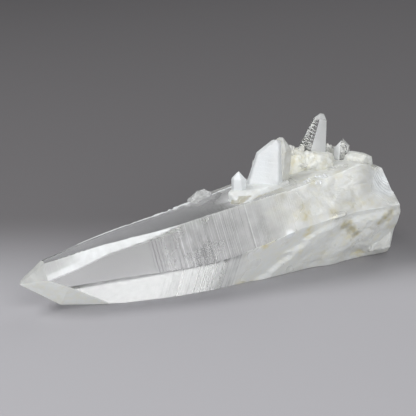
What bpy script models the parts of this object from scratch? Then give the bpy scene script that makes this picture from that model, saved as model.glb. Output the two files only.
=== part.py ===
"""Quartz point cluster: one long clear point lying on a prism face, with smaller crystals grown on it.

Run with: blender --background --python part.py
Metres, +Z up. The long point's tip is at -X, its broken base at +X, and the object rests on Z = 0.
"""

import math
import random

import bmesh
import bpy
from mathutils import Matrix, Vector, noise

NAME = "quartz_cluster"
MM = 0.001

# The long point, in metres. Its c axis climbs a little from the tip to the base.
LENGTH = 169.5 * MM
TIP_HEIGHT = 13.2 * MM
AXIS_PITCH = math.radians(3.0)

# Quartz geometry: six prism faces, and rhombohedral faces that lean about 38.2 degrees from the c axis.
PRISM_ANGLES = {"top": 90, "front_upper": 150, "front_lower": 210, "bottom": 270, "rear_lower": 330, "rear_upper": 30}
RHOMB_LEAN = math.radians(38.2)

# How far each prism face lies from the c axis, at these distances from the tip (both in mm).
STATIONS = (0, 15, 30, 45, 60, 80, 100, 120, 145, 160, 169.5)
FACE_DISTANCE = {
    "top": (7.5, 9.0, 11.2, 12.8, 14.0, 16.2, 18.4, 20.4, 23.4, 23.6, 20.8),
    "front_upper": (6.4, 8.6, 11.4, 14.2, 16.4, 18.4, 20.8, 23.2, 24.8, 24.4, 21.6),
    "front_lower": (7.6, 9.9, 12.5, 15.2, 17.8, 19.4, 18.9, 17.6, 17.4, 17.6, 16.4),
    "bottom": (8.6, 11.2, 13.8, 16.0, 17.2, 18.2, 19.4, 20.6, 21.8, 22.4, 22.4),
    "rear_lower": (6.0, 8.4, 11.0, 13.2, 14.8, 16.6, 18.0, 19.0, 20.0, 20.0, 18.5),
    "rear_upper": (1.8, 4.8, 7.8, 10.2, 12.0, 14.6, 16.6, 18.8, 21.0, 21.0, 19.0),
}
# The tip's faces, as (angle round the axis, lean from the axis, distance from the axis at the tip in mm). The six
# rhombohedral faces come first, and the last is a steeper face below the front edge.
TIP_FACES = (
    (90, 41.2, 0.0), (150, 40.2, 0.0), (211, 31.2, 0.0), (270, 36.2, 0.25), (330, 38.2, 0.6), (30, 40.2, 1.2),
    (214.4, 13.0, 5.3),
)

# Growth ledges across the prism faces, between these distances from the tip.
LEDGES_FROM, LEDGES_TO, LEDGE_COUNT = 62 * MM, 112 * MM, 13
LEDGE_RISE = 0.22 * MM

# The base is broken off. The break leans, so that its foot reaches further than its top.
BREAK_LEAN = 0.17
BREAK_RINGS = ((0.9, 0.8), (0.66, 2.0), (0.36, 2.6))  # share of the section, and how far it bulges, in mm
BREAK_RELIEF, BREAK_RIM = 2.4 * MM, 0.4

# The base half is rough: broad hollows and lumps that grow towards the broken end.
ROUGH_FROM, ROUGH_FULL = 104 * MM, 150 * MM
ROUGH_BROAD, ROUGH_FINE = 1.5 * MM, 0.7 * MM
ROUGH_BROAD_SIZE, ROUGH_FINE_SIZE = 15 * MM, 6 * MM
ROUGH_STEP = 2.8 * MM
COLUMNS = 7  # mesh columns on each prism face

# Small points on the growth behind the tall crystals, in mm.
DRUSE_COUNT, DRUSE_SEED = 18, 9
DRUSE_FROM, DRUSE_TO, DRUSE_BACK, DRUSE_SPREAD = 119, 158, 10.5, 6.0
DRUSE_LOW, DRUSE_HIGH, DRUSE_REACH = 38.5, 40, (6.0, 10.5)

# A later layer that covers the lower front of the base half.
SHELF_START, SHELF_SLANT, SHELF_RISE, SHELF_EDGE = 99 * MM, 26 * MM, 1.7 * MM, 3.0 * MM
SHELF_UPPER_ANGLE = 166


def along(values, t):
    """The value at distance t from the tip, from one row of FACE_DISTANCE, in metres."""
    t_mm = t / MM
    for k in range(len(STATIONS) - 1):
        if t_mm <= STATIONS[k + 1] or k == len(STATIONS) - 2:
            share = (t_mm - STATIONS[k]) / (STATIONS[k + 1] - STATIONS[k])
            return (values[k] + (values[k + 1] - values[k]) * share) * MM


def smooth(x):
    """0 below 0, 1 above 1, and an even slope between."""
    x = min(max(x, 0.0), 1.0)
    return x * x * (3 - 2 * x)


def hexagon(distances):
    """The six corners, as (y, z), of a section whose faces lie at these distances from the axis."""
    names = list(PRISM_ANGLES)
    corners = []
    for k, name in enumerate(names):
        after = names[(k + 1) % len(names)]
        angle = math.radians(PRISM_ANGLES[name])
        first, second = distances[name], distances[after]
        sideways = (second - first * math.cos(math.radians(60))) / math.sin(math.radians(60))
        corners.append((
            first * math.cos(angle) - sideways * math.sin(angle),
            first * math.sin(angle) + sideways * math.cos(angle),
        ))
    return corners


def outline(distances):
    """The section's outline with COLUMNS points on each side, starting at the top face's front corner."""
    corners = hexagon(distances)
    points = []
    for k, corner in enumerate(corners):
        following = corners[(k + 1) % len(corners)]
        for column in range(COLUMNS):
            share = column / COLUMNS
            points.append((
                corner[0] + (following[0] - corner[0]) * share,
                corner[1] + (following[1] - corner[1]) * share,
            ))
    return points


def roughness(point):
    """How far the rough base stands out at a point, in metres."""
    broad = noise.noise(point / ROUGH_BROAD_SIZE + Vector((3.1, 0.4, 7.7)))
    fine = abs(noise.noise(point / ROUGH_FINE_SIZE + Vector((1.3, 5.2, 2.9)))) - 0.25
    return ROUGH_BROAD * broad * 1.6 + ROUGH_FINE * fine * 2.0


def shelf(t, y, z):
    """How far the later layer on the lower front stands out."""
    angle = math.degrees(math.atan2(z, y)) % 360
    if not SHELF_UPPER_ANGLE - 10 < angle < 262:
        return 0.0
    slant = min(max((240 - angle) / 60, 0.0), 1.2)
    start = SHELF_START + SHELF_SLANT * slant
    return SHELF_RISE * smooth((t - start) / SHELF_EDGE) * smooth((angle - SHELF_UPPER_ANGLE) / 12)


def ledge_rings(rng):
    """Pairs of distances from the tip, where the prism steps out, with each step's height."""
    rings = []
    pitch = (LEDGES_TO - LEDGES_FROM) / LEDGE_COUNT
    for k in range(LEDGE_COUNT):
        t = LEDGES_FROM + (k + rng.uniform(0.15, 0.85)) * pitch
        rings.append((t, LEDGE_RISE * rng.uniform(0.5, 1.3)))
    return rings


def section_rings():
    """Every ring of the long point as (distance from the tip, outward step), from the nose to the broken end."""
    ledges = ledge_rings(random.Random(4))
    rings = [(t * MM, 0.0) for t in (-6, 15, 30, 45, 60)]
    for t, rise in ledges:
        rings.append((t, -rise))
        rings.append((t + 0.25 * MM, rise))
    last = rings[-1][0]
    count = math.ceil((LENGTH - last) / ROUGH_STEP)
    rings += [(last + (LENGTH - last) * k / count, 0.0) for k in range(1, count + 1)]
    return rings


def place_in_section(t, y, z):
    """A point of the section at distance t from the tip, in the object's frame."""
    forward = Vector((math.cos(AXIS_PITCH), 0, math.sin(AXIS_PITCH)))
    upward = Vector((-math.sin(AXIS_PITCH), 0, math.cos(AXIS_PITCH)))
    return Vector((0, 0, TIP_HEIGHT)) + forward * t + Vector((0, y, 0)) + upward * z


def break_slant(t, z):
    """How far a point near the base moves along the axis, so that the broken end leans."""
    return -BREAK_LEAN * z * smooth((t - ROUGH_FROM) / (LENGTH - ROUGH_FROM))


def main_ring(t, step):
    """One ring of the long point, with its ledge step, the rough base and the later layer."""
    distances = {name: along(values, t) + step for name, values in FACE_DISTANCE.items()}
    rough = smooth((t - ROUGH_FROM) / (ROUGH_FULL - ROUGH_FROM))
    points = []
    for y, z in outline(distances):
        point = place_in_section(t + break_slant(t, z), y, z)
        outward = Vector((0, y, z)).normalized()
        out = rough * roughness(point) + shelf(t, y, z)
        points.append(point + outward * out)
    return points


def break_ring(share, bulge):
    """One ring of the broken end, smaller than the section and bulging from it."""
    distances = {name: along(values, LENGTH) for name, values in FACE_DISTANCE.items()}
    points = []
    for y, z in outline(distances):
        point = place_in_section(LENGTH + break_slant(LENGTH, z * share), y * share, z * share)
        relief = noise.noise(point / ROUGH_BROAD_SIZE * 1.4) + 0.5 * noise.noise(point / ROUGH_FINE_SIZE)
        inner = smooth((1 - share) / BREAK_RIM)
        points.append(point + Vector((bulge * MM + BREAK_RELIEF * relief * inner, 0, 0)))
    return points


def new_object(name, mesh, collection):
    made = bpy.data.objects.new(name, mesh)
    collection.objects.link(made)
    return made


def cut(bm, point, outward):
    """Cuts everything beyond a plane away and closes the cut with one flat face."""
    geometry = bm.verts[:] + bm.edges[:] + bm.faces[:]
    found = bmesh.ops.bisect_plane(
        bm, geom=geometry, dist=1e-7, plane_co=point, plane_no=outward, clear_outer=True)
    edges = [e for e in found["geom_cut"] if isinstance(e, bmesh.types.BMEdge)]
    if edges:
        bmesh.ops.edgenet_fill(bm, edges=edges)


def finish_mesh(bm, name):
    bmesh.ops.remove_doubles(bm, verts=bm.verts, dist=1e-6)
    bmesh.ops.triangulate(bm, faces=[f for f in bm.faces if len(f.verts) > 4])
    bmesh.ops.recalc_face_normals(bm, faces=bm.faces)
    mesh = bpy.data.meshes.new(name)
    bm.to_mesh(mesh)
    bm.free()
    return mesh


def long_point(collection):
    """The long clear point: a loft of six-sided sections, cut to its rhombohedral tip."""
    bm = bmesh.new()
    rings = [main_ring(t, step) for t, step in section_rings()]
    rings += [break_ring(share, bulge) for share, bulge in BREAK_RINGS]
    loops = [[bm.verts.new(point) for point in ring] for ring in rings]
    for first, second in zip(loops, loops[1:]):
        for k in range(len(first)):
            after = (k + 1) % len(first)
            bm.faces.new((first[k], first[after], second[after], second[k]))
    bm.faces.new(loops[0])
    end = bm.verts.new(sum((v.co for v in loops[-1]), Vector()) / len(loops[-1]))
    for k in range(len(loops[-1])):
        bm.faces.new((loops[-1][k], loops[-1][(k + 1) % len(loops[-1])], end))
    bmesh.ops.recalc_face_normals(bm, faces=bm.faces)
    for angle, lean, distance in TIP_FACES:
        y, z = math.cos(math.radians(angle)), math.sin(math.radians(angle))
        tilt = math.radians(lean)
        outward = place_in_section(-math.sin(tilt), y * math.cos(tilt), z * math.cos(tilt)) - place_in_section(0, 0, 0)
        cut(bm, place_in_section(0, y * distance * MM, z * distance * MM), outward)
    return new_object(NAME, finish_mesh(bm, NAME), collection)


def point_crystal(name, root, tip, width, taper, roll, collection, flatten=1.0, setbacks=(0, 1, 0, 1, 0, 1), lean=0.0):
    """A smaller crystal from root to tip: a six-sided prism that narrows to taper, with a rhombohedral tip.

    width is across its corners at the root, and setbacks are how far each tip face stands back, in mm.
    """
    root, tip = Vector(root) * MM, Vector(tip) * MM
    height = (tip - root).length
    bm = bmesh.new()
    bmesh.ops.create_cone(
        bm, cap_ends=True, segments=6, radius1=width / 2 * MM, radius2=width / 2 * taper * MM, depth=height * 1.5)
    bmesh.ops.translate(bm, verts=bm.verts, vec=(0, 0, height * 0.75))
    bmesh.ops.scale(bm, verts=bm.verts, vec=(1, flatten, 1))
    tilt = RHOMB_LEAN + math.radians(lean)
    for k, setback in enumerate(setbacks):
        angle = math.radians(30 + 60 * k)
        outward = Vector((math.cos(angle) * math.cos(tilt), math.sin(angle) * math.cos(tilt), math.sin(tilt)))
        cut(bm, Vector((0, 0, height - setback * MM)), outward)
    turn = (tip - root).to_track_quat("Z", "Y").to_matrix().to_4x4()
    matrix = Matrix.Translation(root) @ turn @ Matrix.Rotation(math.radians(roll), 4, "Z")
    bmesh.ops.transform(bm, matrix=matrix, verts=bm.verts)
    return new_object(name, finish_mesh(bm, name), collection)


def chunk(name, centre, size, cuts, seed, collection, turn=(0, 0, 0)):
    """A broken lump: a block with flat chips cut from its corners and edges."""
    rng = random.Random(seed)
    bm = bmesh.new()
    bmesh.ops.create_cube(bm, size=1.0)
    for _ in range(cuts):
        outward = Vector((rng.gauss(0, 1), rng.gauss(0, 1), rng.gauss(0, 1))).normalized()
        cut(bm, outward * rng.uniform(0.43, 0.58), outward)
    spin = Matrix.Rotation(math.radians(turn[2]), 4, "Z") @ Matrix.Rotation(math.radians(turn[1]), 4, "Y")
    spin = spin @ Matrix.Rotation(math.radians(turn[0]), 4, "X")
    matrix = Matrix.Translation(Vector(centre) * MM) @ spin @ Matrix.Diagonal((*[s * MM for s in size], 1))
    bmesh.ops.transform(bm, matrix=matrix, verts=bm.verts)
    return new_object(name, finish_mesh(bm, name), collection)


def side_growths(collection):
    """Everything that grew on the long point, root to tip in mm from the point's tip."""
    grown = []
    # A second point, nearly parallel to the first, sunk in its upper rear edge.
    grown.append(point_crystal(
        "companion", (166, 17, 34.5), (79, 11, 24.5), 23, 0.5, 8, collection, setbacks=(1, 0, 2, 0, 1, 3)))
    # Lumps left on the broken end.
    grown.append(chunk("break_upper", (162, 3, 33), (16, 28, 17), 30, 31, collection, turn=(10, -12, 8)))
    grown.append(chunk("break_rear", (159, 19.5, 30.5), (24, 21, 25), 30, 17, collection, turn=(3, 9, -6)))
    grown.append(chunk("break_foot", (167, -6, 11.5), (14, 21, 18), 30, 9, collection, turn=(0, 6, 10)))
    # The milky group that stands on the top face.
    grown.append(point_crystal(
        "milky_blade", (110, -2, 32), (114.3, -4, 62.7), 21, 0.72, 24, collection, flatten=0.62,
        setbacks=(0, 0.5, 3.5, 0, 0.8, 4)))
    grown.append(point_crystal(
        "milky_twin", (117, -1, 33), (119, -3, 60.5), 12, 0.7, 10, collection, setbacks=(0, 1, 2, 0, 1, 0.5)))
    grown.append(point_crystal(
        "milky_spur", (99, -3, 32), (98.5, -3, 47.5), 9.5, 0.85, 20, collection, setbacks=(0, 0.5, 0, 1, 0, 0.5)))
    grown.append(chunk("milky_foot", (106, -4, 36.6), (27, 15, 4.5), 14, 3, collection, turn=(0, -4, 8)))
    # The ledge in front of them.
    grown.append(point_crystal(
        "ledge", (128, -8, 34.5), (89, -9, 35.2), 9, 0.7, 30, collection, setbacks=(0, 2, 0, 2, 0, 2)))
    # The tall ribbed crystal and the clear double point.
    grown.append(point_crystal(
        "tall_point", (138.8, 6, 38), (145.8, 8, 65), 15, 0.28, 12, collection, setbacks=(0.4, 0.8, 0.4, 0, 0.4, 1.2)))
    grown.append(point_crystal(
        "clear_point", (152.3, 3, 40), (151.5, 1, 54), 6.4, 0.95, 5, collection, setbacks=(0, 0, 1, 0, 0, 1)))
    # Broken growth between and beyond them.
    grown.append(chunk("druse_wall", (132, 7, 42.5), (25, 17, 14), 26, 11, collection, turn=(6, -8, 3)))
    grown.append(chunk("druse_back", (146, 11, 41.5), (26, 16, 10), 26, 5, collection, turn=(0, -4, -6)))
    grown.append(chunk("stub", (158.5, -3, 43.6), (12, 11, 8.0), 18, 8, collection, turn=(4, 6, 12)))
    grown.append(chunk("nub", (84.5, 8, 34), (10, 7, 5.5), 16, 21, collection, turn=(0, -10, 20)))
    return grown + druse(collection)


def druse(collection):
    """Small points that cover the growth behind the tall crystals, each leaning its own way."""
    rng = random.Random(DRUSE_SEED)
    points = []
    for k in range(DRUSE_COUNT):
        share = k / (DRUSE_COUNT - 1)
        x = DRUSE_FROM + (DRUSE_TO - DRUSE_FROM) * share
        y = DRUSE_BACK + rng.uniform(-DRUSE_SPREAD, DRUSE_SPREAD)
        z = DRUSE_LOW + (DRUSE_HIGH - DRUSE_LOW) * share
        reach = rng.uniform(*DRUSE_REACH)
        lean = (rng.uniform(-0.7, 0.5), rng.uniform(-0.7, 0.9), 1.0)
        points.append(point_crystal(
            f"druse_{k:02d}", (x, y, z), (x + lean[0] * reach, y + lean[1] * reach, z + lean[2] * reach),
            reach * rng.uniform(0.5, 0.75), 0.9, rng.uniform(0, 60), collection))
    return points


def floor_cutter(collection):
    """A block under Z = 0, which cuts the underside flat."""
    bm = bmesh.new()
    bmesh.ops.create_cube(bm, size=1.0)
    matrix = Matrix.Translation((LENGTH / 2, 0, -LENGTH / 2)) @ Matrix.Diagonal((LENGTH * 2, LENGTH, LENGTH, 1))
    bmesh.ops.transform(bm, matrix=matrix, verts=bm.verts)
    return new_object("floor_cutter", finish_mesh(bm, "floor_cutter"), collection)


def quartz():
    """Clear quartz, nearly colourless."""
    material = bpy.data.materials.new("clear_quartz")
    material.use_nodes = True
    shader = material.node_tree.nodes["Principled BSDF"]
    shader.inputs["Base Color"].default_value = (0.86, 0.87, 0.85, 1)
    shader.inputs["Roughness"].default_value = 0.12
    shader.inputs["Metallic"].default_value = 0.0
    shader.inputs["IOR"].default_value = 1.544
    shader.inputs["Transmission Weight"].default_value = 0.8
    return material


def join(body, others, cutter):
    """Joins the growths to the long point and cuts the underside, by Boolean modifiers.

    Every mesh here is closed, and the manifold solver keeps the joined one closed where the exact one loses it.
    """
    for other in others:
        modifier = body.modifiers.new(other.name, "BOOLEAN")
        modifier.operation = "UNION"
        modifier.solver = "MANIFOLD"
        modifier.object = other
    modifier = body.modifiers.new("floor", "BOOLEAN")
    modifier.operation = "DIFFERENCE"
    modifier.solver = "MANIFOLD"
    modifier.object = cutter
    for guide in (*others, cutter):
        guide.hide_render = True
        guide.display_type = "WIRE"


def centre(body, guides):
    """Moves everything so that the origin lies under the middle of the finished object's box."""
    depsgraph = bpy.context.evaluated_depsgraph_get()
    mesh = bpy.data.meshes.new_from_object(body.evaluated_get(depsgraph))
    xs = [v.co.x for v in mesh.vertices]
    ys = [v.co.y for v in mesh.vertices]
    bpy.data.meshes.remove(mesh)
    shift = Vector((-(min(xs) + max(xs)) / 2, -(min(ys) + max(ys)) / 2, 0))
    for item in (body, *guides):
        item.location += shift


def main():
    for old in list(bpy.data.objects):
        bpy.data.objects.remove(old)
    shown = bpy.data.collections.new(NAME)
    guides = bpy.data.collections.new("guides")
    for collection in (shown, guides):
        bpy.context.scene.collection.children.link(collection)
    body = long_point(shown)
    body.data.materials.append(quartz())
    growths, cutter = side_growths(guides), floor_cutter(guides)
    join(body, growths, cutter)
    centre(body, (*growths, cutter))


main()
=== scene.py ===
# %% [markdown]
# # A quartz point with smaller crystals on its back
#
# The real object is one piece of rock crystal. A long point lies on one of its six side faces, tapers to a
# faceted tip, and carries a group of smaller crystals near its rough, broken base. This lesson loads the
# plain solid that gives its size and place, then builds the finished crystal around it, with a dense mesh for
# the growth lines and one clear material that turns milky where the real stone does.

import bisect
import math
import random

import bmesh
import bpy
from mathutils import Matrix, Vector, noise
from mathutils.bvhtree import BVHTree


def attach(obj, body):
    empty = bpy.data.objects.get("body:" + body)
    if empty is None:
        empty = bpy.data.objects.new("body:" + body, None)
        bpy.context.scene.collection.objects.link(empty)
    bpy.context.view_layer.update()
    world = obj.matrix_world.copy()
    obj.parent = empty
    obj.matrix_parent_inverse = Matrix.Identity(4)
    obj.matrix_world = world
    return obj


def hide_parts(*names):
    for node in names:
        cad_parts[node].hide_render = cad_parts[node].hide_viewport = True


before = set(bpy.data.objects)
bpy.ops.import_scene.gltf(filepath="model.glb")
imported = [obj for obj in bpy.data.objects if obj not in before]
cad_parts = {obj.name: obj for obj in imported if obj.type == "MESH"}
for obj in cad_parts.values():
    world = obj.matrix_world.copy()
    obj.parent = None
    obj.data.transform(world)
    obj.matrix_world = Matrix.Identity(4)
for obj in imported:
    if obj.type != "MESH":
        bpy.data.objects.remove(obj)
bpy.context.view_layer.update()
NODE = "quartz_cluster"
MM = 0.001

# %% [markdown]
# ## One origin for every measure
#
# Every place below is measured in millimetres from the tip: along the table towards the base, across it away
# from the viewer, and up from the table. The tip is the solid's lowest X, so its own vertex gives the origin,
# and nothing has to be fitted by eye.

# %% Find the tip
tip = min((v.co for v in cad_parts[NODE].data.vertices), key=lambda co: co.x)
ORIGIN = Vector((tip.x, tip.y, 0))


def place(x, y, z):
    """A point given in mm from the tip, in the frame's metres."""
    return ORIGIN + Vector((x, y, z)) * MM


print("tip at", [round(c / MM, 2) for c in tip], "mm")

# %% [markdown]
# ## The camera
#
# The photo looks at the long side from 28 degrees round and 19 degrees up, through a longish lens from about
# half a metre. A camera could be aimed at the object's middle, but the photo's framing sits a little off it,
# so the eye point is worked out first and the camera then looks along one direction from there.

# %% Set the camera
VIEW_ROUND, VIEW_UP = math.radians(28), math.radians(19)
VIEW_DISTANCE = 0.55
LENS, SENSOR = 111.85, 36
FRAMING_DROP = math.radians(0.704)  # the camera looks this much higher than at the aim point


def direction(round_angle, up_angle):
    """The unit vector that looks round from +Y towards +X, and down by up_angle."""
    return Vector((
        math.sin(round_angle) * math.cos(up_angle),
        math.cos(round_angle) * math.cos(up_angle),
        -math.sin(up_angle),
    ))


def new_object(name, data):
    """An object that is linked to the scene."""
    made = bpy.data.objects.new(name, data)
    bpy.context.scene.collection.objects.link(made)
    return made


aim = place(85, 0, 25)
eye = aim - direction(VIEW_ROUND, VIEW_UP) * VIEW_DISTANCE
scene = bpy.context.scene
camera = new_object("camera", bpy.data.cameras.new("camera"))
camera.location = eye
camera.rotation_euler = direction(VIEW_ROUND, VIEW_UP - FRAMING_DROP).to_track_quat("-Z", "Y").to_euler()
camera.data.lens = LENS
camera.data.sensor_width = SENSOR
camera.data.clip_start = 0.01
scene.camera = camera
print("eye at", [round(c, 4) for c in eye], "m")

# %% [markdown]
# ## Colours and nodes
#
# Colours are written as the sRGB hex values that a colour picker shows, and one function turns them into the
# linear values that a shader works with. One more small function adds a node with its settings and links.

# %% Colour and node helpers


def linear(hex_colour):
    """An sRGB hex colour as linear red, green, blue and an alpha of 1."""
    channels = [int(hex_colour[i:i + 2], 16) / 255 for i in (1, 3, 5)]
    return (*[c / 12.92 if c <= 0.04045 else ((c + 0.055) / 1.055) ** 2.4 for c in channels], 1)


def add(tree, kind, settings=None, **links):
    """Adds a node. settings are its properties. links are its inputs, as values or as other nodes' outputs.

    An input goes by its name with _ for a space, or by i and its number.
    """
    node = tree.nodes.new("ShaderNode" + kind)
    for key, value in (settings or {}).items():
        setattr(node, key, value)
    for key, value in links.items():
        numbered = key[0] == "i" and key[1:].isdigit()
        socket = node.inputs[int(key[1:]) if numbered else key.replace("_", " ")]
        if isinstance(value, bpy.types.NodeSocket):
            tree.links.new(value, socket)
        else:
            socket.default_value = value
    return node


def new_material(name):
    """A material whose node tree is empty, and that tree."""
    material = bpy.data.materials.new(name)
    material.use_nodes = True
    material.node_tree.nodes.clear()
    return material, material.node_tree


print("white is", [round(c, 3) for c in linear("#FFFFFF")])

# %% [markdown]
# ## The table
#
# Clear crystal shows what lies around it, so its surroundings matter more than for a solid colour. The table
# is one wide flat disc. It is pale where the crystal lies, and its colour darkens behind it in painted shade,
# as a studio sheet falls dark away from the lamp, so that the white crystals stand out and the clear faces
# have something dark to show.

# %% Make the table
TABLE_GREY, FAR_SHADE_GREY = "#ABAAAE", "#686668"
PALE_UNTIL, DARK_FROM, TABLE_RADIUS = -0.03, 0.085, 4.0  # m behind the aim point, m
TABLE_DROP = 0.0002  # m below the crystal, so that the two surfaces never share a plane


def make_table():
    """The disc, with a matte material whose colour darkens towards the back, a painted shade."""
    bm = bmesh.new()
    bmesh.ops.create_circle(bm, cap_ends=True, segments=96, radius=TABLE_RADIUS)
    mesh = bpy.data.meshes.new("table")
    bm.to_mesh(mesh)
    bm.free()
    table = new_object("table", mesh)
    table.location.z = -TABLE_DROP
    material, tree = new_material("matte_paper")
    spot = add(tree, "TexCoord")
    # Painted shade: the colour darkens from the aim point towards the back.
    behind = add(tree, "VectorMath", {"operation": "DOT_PRODUCT"}, i0=spot.outputs["Object"],
                 i1=direction(VIEW_ROUND, 0))
    share = add(tree, "MapRange", {"interpolation_type": "SMOOTHSTEP"},
                Value=behind.outputs["Value"], From_Min=PALE_UNTIL, From_Max=DARK_FROM)
    colour = add(tree, "Mix", {"data_type": "RGBA"}, Factor=share.outputs[0],
                 i6=linear(TABLE_GREY), i7=linear(FAR_SHADE_GREY))
    shader = add(tree, "BsdfPrincipled", Base_Color=colour.outputs[2], Roughness=0.9)
    add(tree, "OutputMaterial", Surface=shader.outputs[0])
    mesh.materials.append(material)


make_table()
print("table disc is", TABLE_RADIUS * 2, "m across")

# %% [markdown]
# ## Soft light
#
# Clear crystal is lit by what it bends towards the eye, so the light comes in broad panels. One stands high
# at the left, and one high behind, whose light the lower faces throw forward. A high one in front keeps the
# milky crystals white, and a small bright one low in front lights the faces below the front ridge. Each is
# placed by how far round and how high it stands, as seen from the camera.

# %% Light the scene
# degrees round from straight behind, degrees up, distance in m, size in m, brightness in W per m2 per sr
PANELS = {
    "behind_high": (24, 38, 1.1, 0.72, 1.1),
    "left_high": (-100, 50, 1.0, 0.6, 5.5),
    "front_fill": (160, 34, 1.2, 0.9, 3.5),
    "front_low": (184, 8, 1.0, 0.26, 11.5),
}
SKY_GREY, SKY_STRENGTH = "#C2C3C5", 0.34
BOUNCES, MIRROR_BOUNCES = 24, 12  # light crosses many faces before it leaves the crystal


def add_panel(name, round_by, up_by, distance, size, brightness):
    """A square area light that faces the aim point. Its power is brightness x pi x area."""
    light = bpy.data.lights.new(name, "AREA")
    light.size = size
    light.energy = brightness * math.pi * size * size
    made = new_object(name, light)
    towards = direction(VIEW_ROUND + math.radians(round_by), -math.radians(up_by))
    made.location = aim + towards * distance
    made.rotation_euler = (-towards).to_track_quat("-Z", "Y").to_euler()
    made.visible_camera = False


for name, values in PANELS.items():
    add_panel(name, *values)
world = bpy.data.worlds.new("soft_sky")
world.use_nodes = True
world.node_tree.nodes["Background"].inputs["Color"].default_value = linear(SKY_GREY)
world.node_tree.nodes["Background"].inputs["Strength"].default_value = SKY_STRENGTH
scene.world = world
scene.cycles.max_bounces = BOUNCES
scene.cycles.transmission_bounces = BOUNCES
scene.cycles.glossy_bounces = MIRROR_BOUNCES
scene.view_settings.view_transform = "Standard"
print(len(PANELS), "panels")

# %% [markdown]
# ## The long point's form
#
# Quartz grows as a six-sided prism with a six-sided tip, and every angle between its faces is fixed. What
# differs from stone to stone is how far each face lies from the middle. So the form is given as those
# distances at a few stations along the axis, and a section anywhere follows from the angles alone.

# %% Face distances
AXIS_PITCH = math.radians(3.0)  # the axis rises this much towards the base
TIP_HEIGHT = 13.2  # mm from the table to the axis at the tip
LENGTH = 169.5  # mm along the axis
# which way each face points, in degrees round the axis: 0 is away from the viewer, 90 is up
PRISM_ANGLES = {
    "top": 90, "front_upper": 150, "front_lower": 210,
    "bottom": 270, "rear_lower": 330, "rear_upper": 30,
}
STATIONS = (0, 15, 30, 45, 60, 80, 100, 120, 145, 160, 169.5)  # mm from the tip
# mm from the axis at each station
FACE_DISTANCE = {
    "top": (7.5, 9.0, 11.2, 12.8, 14.0, 16.2, 18.4, 20.4, 23.4, 23.6, 20.8),
    "front_upper": (6.4, 8.6, 11.4, 14.2, 16.4, 18.4, 20.8, 23.2, 24.8, 24.4, 21.6),
    "front_lower": (7.6, 9.9, 12.5, 15.2, 17.8, 19.4, 18.9, 17.6, 17.4, 17.6, 16.4),
    "bottom": (8.6, 11.2, 13.8, 16.0, 17.2, 18.2, 19.4, 20.6, 21.8, 22.4, 22.4),
    "rear_lower": (6.0, 8.4, 11.0, 13.2, 14.8, 16.6, 18.0, 19.0, 20.0, 20.0, 18.5),
    "rear_upper": (1.8, 4.8, 7.8, 10.2, 12.0, 14.6, 16.6, 18.8, 21.0, 21.0, 19.0),
}


def along(values, t):
    """The face distance at t mm from the tip, on a smooth curve through the stations."""
    t = min(t, STATIONS[-1])
    k = 0
    while k < len(STATIONS) - 2 and t > STATIONS[k + 1]:
        k += 1
    x0, x1, y0, y1 = STATIONS[k], STATIONS[k + 1], values[k], values[k + 1]

    def slope(i):
        low, high = max(i - 1, 0), min(i + 1, len(STATIONS) - 1)
        return (values[high] - values[low]) / (STATIONS[high] - STATIONS[low])

    span = x1 - x0
    s = (t - x0) / span
    if s < 0:
        return y0 + slope(0) * (t - x0)
    a, b = slope(k) * span, slope(k + 1) * span
    return (
        (2 * s**3 - 3 * s**2 + 1) * y0 + (s**3 - 2 * s**2 + s) * a
        + (3 * s**2 - 2 * s**3) * y1 + (s**3 - s**2) * b
    )


def smooth(x):
    """0 below 0, 1 above 1, and a smooth rise between."""
    x = min(max(x, 0.0), 1.0)
    return x * x * (3 - 2 * x)


def corners(t):
    """The six corners, as (y, z), of the smooth form's section at t mm from the tip."""
    distances = {name: along(values, t) for name, values in FACE_DISTANCE.items()}
    names = list(PRISM_ANGLES)
    found = []
    for k, name in enumerate(names):
        angle = math.radians(PRISM_ANGLES[name])
        first, second = distances[name], distances[names[(k + 1) % 6]]
        sideways = (second - first * math.cos(math.radians(60))) / math.sin(math.radians(60))
        found.append((
            first * math.cos(angle) - sideways * math.sin(angle),
            first * math.sin(angle) + sideways * math.cos(angle),
        ))
    return found


def on_axis(t, y, z):
    """A section's point at t mm from the tip, in the frame's metres."""
    return place(
        t * math.cos(AXIS_PITCH) - z * math.sin(AXIS_PITCH), y,
        TIP_HEIGHT + t * math.sin(AXIS_PITCH) + z * math.cos(AXIS_PITCH))


for t in (20, 80, 140):
    print("at", t, "mm the top face lies", round(along(FACE_DISTANCE["top"], t), 1), "mm from the axis")

# %% [markdown]
# ## Growth lines
#
# The fine lines across a quartz prism are stairs: the crystal grew in layers, and each layer ended a little
# short of the one below. A bump map could draw them, but clear crystal bends light at every stair, so the
# strong ones are real steps. From one line to the next the face falls slightly behind its smooth form, and
# then it comes out again. The line itself is a narrow cut. On the real stone they lie about 1 mm apart, and
# are strongest in the middle of its length.

# %% Stairs on the prism faces
STAIR_GAP = (0.65, 1.5)  # mm
STAIR_FROM, STAIR_TO = 5, 134  # mm from the tip
RISER = 0.42  # mm along the axis, how wide the cut of a line is
STAIR_RATE, LINE_CUT = 0.02, 0.13  # mm a tread drops behind for each mm of its length, mm a line is cut in
# how strong the stairs are on each face
STAIR_SHARE = {
    "top": 0.45, "front_upper": 1.0, "front_lower": 0.16,
    "bottom": 0.1, "rear_lower": 0.06, "rear_upper": 0.15,
}


def stair_edges():
    """Distances from the tip at which the faces step out."""
    rng = random.Random(12)
    edges = [STAIR_FROM]
    while edges[-1] < STAIR_TO:
        edges.append(edges[-1] + rng.uniform(*STAIR_GAP))
    return edges


STAIRS = stair_edges()


def stair_strength(k, name, share):
    """How strong stair k is on a face, from 0 to 1, at a share of the face's width."""
    t = STAIRS[k]
    zone = 0.12 + 0.88 * smooth((t - 46) / 16) * (1 - 0.9 * smooth((t - 98) / 16))
    patch = noise.noise(Vector((k * 1.37, PRISM_ANGLES[name], share * 0.5)))
    return STAIR_SHARE[name] * zone * min(max(0.5 + 1.3 * patch, 0.0), 1.0)


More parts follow.
